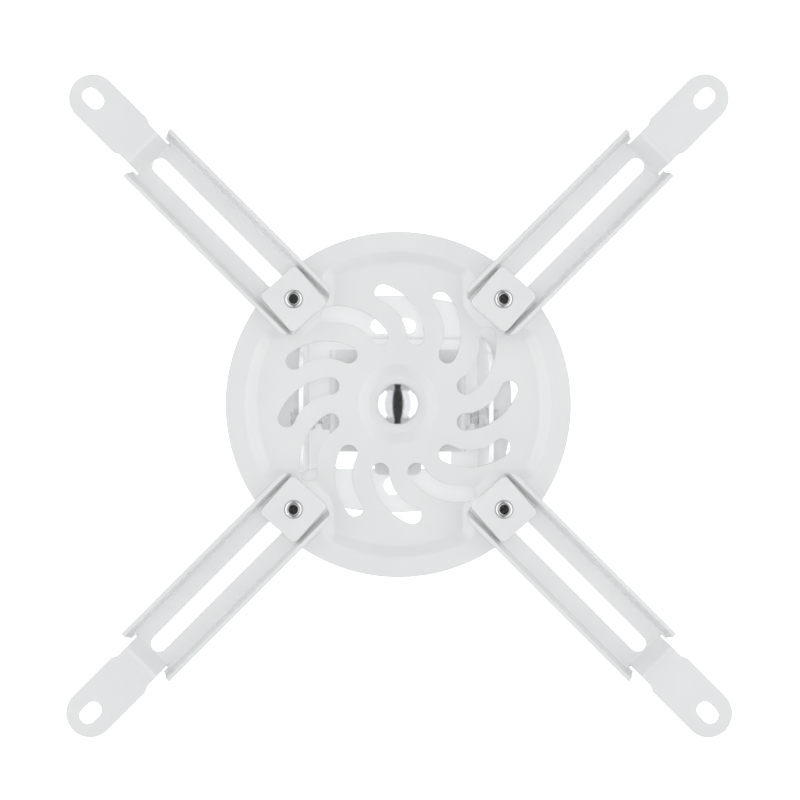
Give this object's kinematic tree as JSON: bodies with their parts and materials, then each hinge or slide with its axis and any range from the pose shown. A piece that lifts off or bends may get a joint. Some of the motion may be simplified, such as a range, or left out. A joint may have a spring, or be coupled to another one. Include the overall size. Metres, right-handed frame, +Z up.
{
  "type": "projector ceiling mount",
  "caption": "Ceiling mount for a projector: a tilting and swivelling round slotted plate with folding, sliding channel arms that end in stepped tabs.",
  "frame": {"origin": "middle of the ceiling plate's top face, which lies against the ceiling", "axes": "+Z up, into the ceiling and along the swivel axis; X along the tilt axis; +Y towards the side with the cable window; the arms point along the four diagonals"},
  "size_m": [0.3216, 0.3216, 0.134],
  "materials": {
    "white_powder_coat": "satin",
    "zinc_plate": "satin",
    "polished_chrome": "gloss"
  },
  "bodies": {
    "ceiling_bracket": {"ceiling_plate": "white_powder_coat", "upper_yoke": "white_powder_coat", "pivot_bolt_left": "zinc_plate", "pivot_bolt_right": "zinc_plate", "pivot_spacing_nuts_left": "zinc_plate", "pivot_spacing_nuts_right": "zinc_plate", "pivot_washers": "zinc_plate", "pivot_nuts": "zinc_plate"},
    "tilt_head": {"lower_yoke": "white_powder_coat", "swivel_washer": "zinc_plate", "centre_washer": "zinc_plate", "tilt_lock_bolt_left": "zinc_plate", "tilt_lock_bolt_right": "zinc_plate", "tilt_lock_spacing_nuts_left": "zinc_plate", "tilt_lock_spacing_nuts_right": "zinc_plate", "tilt_lock_washers": "zinc_plate", "tilt_lock_nuts": "zinc_plate"},
    "spider": {"spider_plate": "white_powder_coat", "centre_bolt": "polished_chrome", "centre_lock_nut": "zinc_plate", "clamp_screw_front_right": "zinc_plate", "clamp_screw_front_left": "zinc_plate", "clamp_screw_back_left": "zinc_plate", "clamp_screw_back_right": "zinc_plate", "clamp_nut_front_right": "zinc_plate", "clamp_nut_front_left": "zinc_plate", "clamp_nut_back_left": "zinc_plate", "clamp_nut_back_right": "zinc_plate"},
    "clamp_front_right": {"clamp_front_right": "white_powder_coat"},
    "arm_front_right": {"arm_front_right": "white_powder_coat"},
    "clamp_front_left": {"clamp_front_left": "white_powder_coat"},
    "arm_front_left": {"arm_front_left": "white_powder_coat"},
    "clamp_back_left": {"clamp_back_left": "white_powder_coat"},
    "arm_back_left": {"arm_back_left": "white_powder_coat"},
    "clamp_back_right": {"clamp_back_right": "white_powder_coat"},
    "arm_back_right": {"arm_back_right": "white_powder_coat"}
  },
  "joints": [
    {"name": "tilt", "type": "hinge", "parent": "ceiling_bracket", "child": "tilt_head", "pos_m": [0, 0.008, -0.066], "axis": [1, 0, 0], "range_deg": [-15, 15]},
    {"name": "swivel", "type": "hinge", "parent": "tilt_head", "child": "spider", "pos_m": [0, 0, -0.11], "axis": [0, 0, 1], "continuous": true},
    {"name": "arm_pivot_front_right", "type": "hinge", "parent": "spider", "child": "clamp_front_right", "pos_m": [0.05155, 0.05155, -0.122], "axis": [0, 0, 1], "range_deg": [-45, 45]},
    {"name": "arm_slide_front_right", "type": "slide", "parent": "clamp_front_right", "child": "arm_front_right", "axis": [-0.7071, -0.7071, 0], "range_m": [0, 0.045]},
    {"name": "arm_pivot_front_left", "type": "hinge", "parent": "spider", "child": "clamp_front_left", "pos_m": [-0.05155, 0.05155, -0.122], "axis": [0, 0, 1], "range_deg": [-45, 45]},
    {"name": "arm_slide_front_left", "type": "slide", "parent": "clamp_front_left", "child": "arm_front_left", "axis": [0.7071, -0.7071, 0], "range_m": [0, 0.045]},
    {"name": "arm_pivot_back_left", "type": "hinge", "parent": "spider", "child": "clamp_back_left", "pos_m": [-0.05155, -0.05155, -0.122], "axis": [0, 0, 1], "range_deg": [-45, 45]},
    {"name": "arm_slide_back_left", "type": "slide", "parent": "clamp_back_left", "child": "arm_back_left", "axis": [0.7071, 0.7071, 0], "range_m": [0, 0.045]},
    {"name": "arm_pivot_back_right", "type": "hinge", "parent": "spider", "child": "clamp_back_right", "pos_m": [0.05155, -0.05155, -0.122], "axis": [0, 0, 1], "range_deg": [-45, 45]},
    {"name": "arm_slide_back_right", "type": "slide", "parent": "clamp_back_right", "child": "arm_back_right", "axis": [-0.7071, 0.7071, 0], "range_m": [0, 0.045]}
  ]
}
